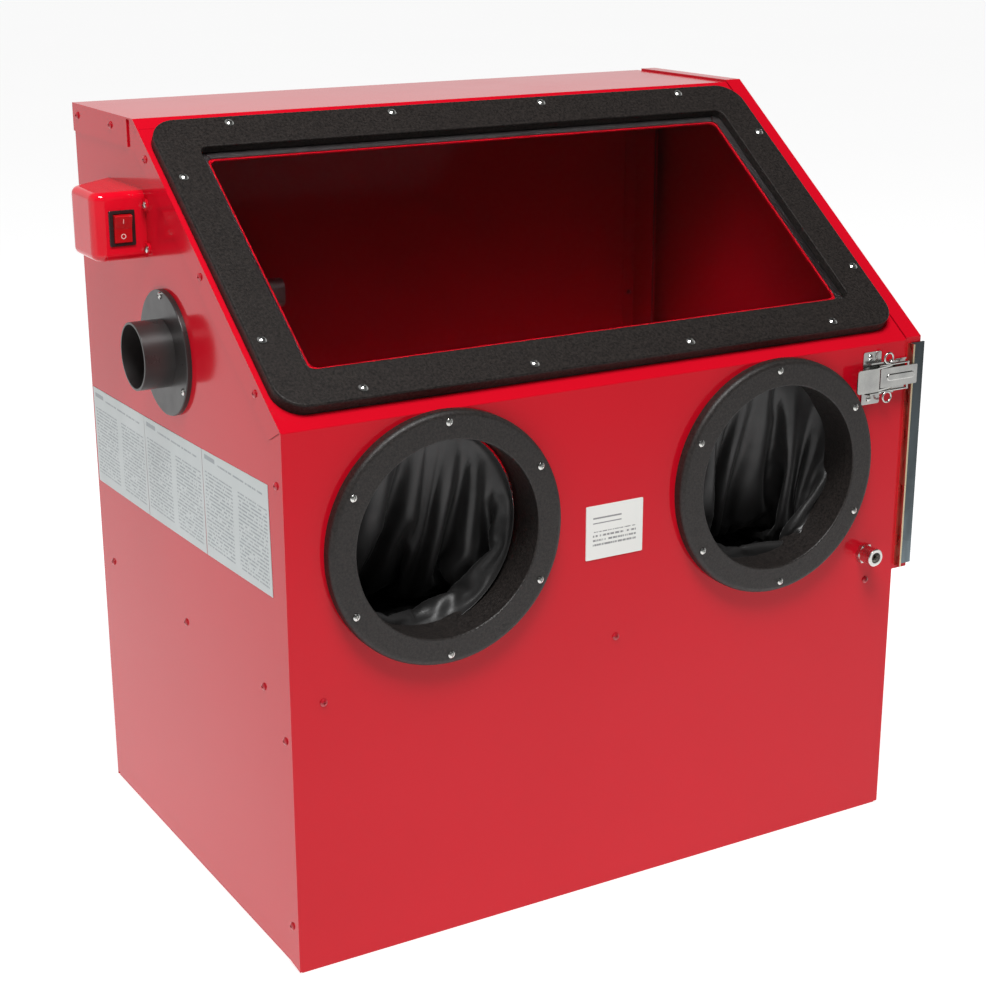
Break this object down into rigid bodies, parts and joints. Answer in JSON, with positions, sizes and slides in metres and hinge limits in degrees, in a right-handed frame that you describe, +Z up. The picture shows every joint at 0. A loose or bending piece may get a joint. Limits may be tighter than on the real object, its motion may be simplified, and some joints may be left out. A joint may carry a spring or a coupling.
{
  "type": "sandblast cabinet",
  "caption": "Bench-top blasting cabinet with sloped window, two glove ports, side door with toggle latch, grate, hopper, dust outlet and air inlet.",
  "frame": {"origin": "centre of the underside of the bottom pan, on the plane the cabinet stands on", "axes": "+X to the operator's right, towards the door; +Y from the operator to the back; +Z up"},
  "size_m": [0.765, 0.515, 0.747],
  "materials": {
    "red_paint": "glossy red powder coat",
    "red_screw_paint": "red painted pan head",
    "zinc_steel": "bright zinc plated steel",
    "galvanised_strip": "galvanised steel with yellow passivated edges",
    "bare_steel": "bare steel",
    "black_frame_plastic": "fine textured black moulding",
    "black_spigot_plastic": "satin black moulding",
    "black_rubber": "black rubber",
    "glove_fabric": "rubberised black gauntlet",
    "window_glass": "clear window glass",
    "red_plastic": "glossy red moulding",
    "black_gloss_plastic": "black moulding",
    "red_rocker_plastic": "translucent red rocker",
    "plated_brass": "nickel plated brass",
    "sticker_grey": "silver grey printed film",
    "badge_white": "white printed film",
    "white_paint": "white enamel",
    "white_plastic": "white socket moulding",
    "lamp_glass": "frosted lamp glass",
    "cast_aluminium": "cast aluminium",
    "nozzle_ceramic": "unglazed ceramic",
    "trigger_steel": "black painted steel"
  },
  "bodies": {
    "cabinet": {"air_inlet_nipple": "plated_brass", "air_inlet_nuts": "plated_brass", "back_panel": "red_paint", "back_screws": "red_screw_paint", "bottom_pan": "red_paint", "cable_gland": "black_gloss_plastic", "cover_screws": "red_screw_paint", "dust_spigot": "black_spigot_plastic", "fold_screws": "red_screw_paint", "front_badge": "badge_white", "front_panel": "red_paint", "glove_collar_left": "black_frame_plastic", "glove_collar_right": "black_frame_plastic", "glove_left": "glove_fabric", "glove_right": "glove_fabric", "glove_ring_left": "black_frame_plastic", "glove_ring_right": "black_frame_plastic", "glove_ring_screws_left": "zinc_steel", "glove_ring_screws_right": "zinc_steel", "grate_rails": "red_paint", "gun_body": "cast_aluminium", "gun_hook": "bare_steel", "gun_nozzle": "nozzle_ceramic", "hinge_body_leaves": "zinc_steel", "hinge_pins": "zinc_steel", "hinge_rivets": "zinc_steel", "hopper": "red_paint", "housing_screws": "zinc_steel", "info_label_front": "sticker_grey", "info_label_middle": "sticker_grey", "info_label_rear": "sticker_grey", "lamp_channel": "white_paint", "lamp_sockets": "white_plastic", "lamp_tube": "lamp_glass", "latch_base": "zinc_steel", "latch_pivot_pin": "zinc_steel", "latch_rivets": "zinc_steel", "left_side_panel": "red_paint", "pickup_tube": "bare_steel", "rail_screws": "red_screw_paint", "right_side_panel": "red_paint", "spigot_screws": "zinc_steel", "switch_bezel": "black_gloss_plastic", "switch_housing": "red_plastic", "top_cover": "red_paint", "window_frame": "black_frame_plastic", "window_gasket": "black_rubber", "window_pane": "window_glass", "window_screws": "zinc_steel", "work_grate": "bare_steel"},
    "door": {"door_panel": "red_paint", "door_seal": "black_rubber", "door_catch_strip": "galvanised_strip", "hinge_door_leaves": "zinc_steel"},
    "latch_lever": {"latch_lever": "zinc_steel", "latch_claw_pin": "zinc_steel"},
    "latch_claw": {"latch_claw": "zinc_steel", "latch_springs": "zinc_steel"},
    "switch_rocker": {"switch_rocker": "red_rocker_plastic"},
    "gun_trigger": {"gun_trigger": "trigger_steel"}
  },
  "joints": [
    {"name": "door_hinge", "type": "hinge", "parent": "cabinet", "child": "door", "pos_m": [0.357, 0.2475, 0.5], "axis": [0, 0, 1], "range_deg": [0, 110]},
    {"name": "latch_lever_hinge", "type": "hinge", "parent": "cabinet", "child": "latch_lever", "pos_m": [0.3215, -0.2474, 0.481], "axis": [0, 0, 1], "range_deg": [0, 90]},
    {"name": "latch_claw_hinge", "type": "hinge", "parent": "latch_lever", "child": "latch_claw", "pos_m": [0.309, -0.247, 0.481], "axis": [0, 0, 1], "range_deg": [-90, 0]},
    {"name": "switch_rocker_hinge", "type": "hinge", "parent": "cabinet", "child": "switch_rocker", "pos_m": [-0.3673, 0.0535, 0.647], "axis": [-1, 0, 0], "range_deg": [0, 16]},
    {"name": "gun_trigger_hinge", "type": "hinge", "parent": "cabinet", "child": "gun_trigger", "pos_m": [-0.222, 0.207, 0.517], "axis": [0, -1, 0], "range_deg": [0, 14], "stiffness_Nm_per_rad": 0.2}
  ],
  "couplings": [
    {"joint": "latch_claw_hinge", "follows": "latch_lever_hinge", "ratio": -1}
  ]
}
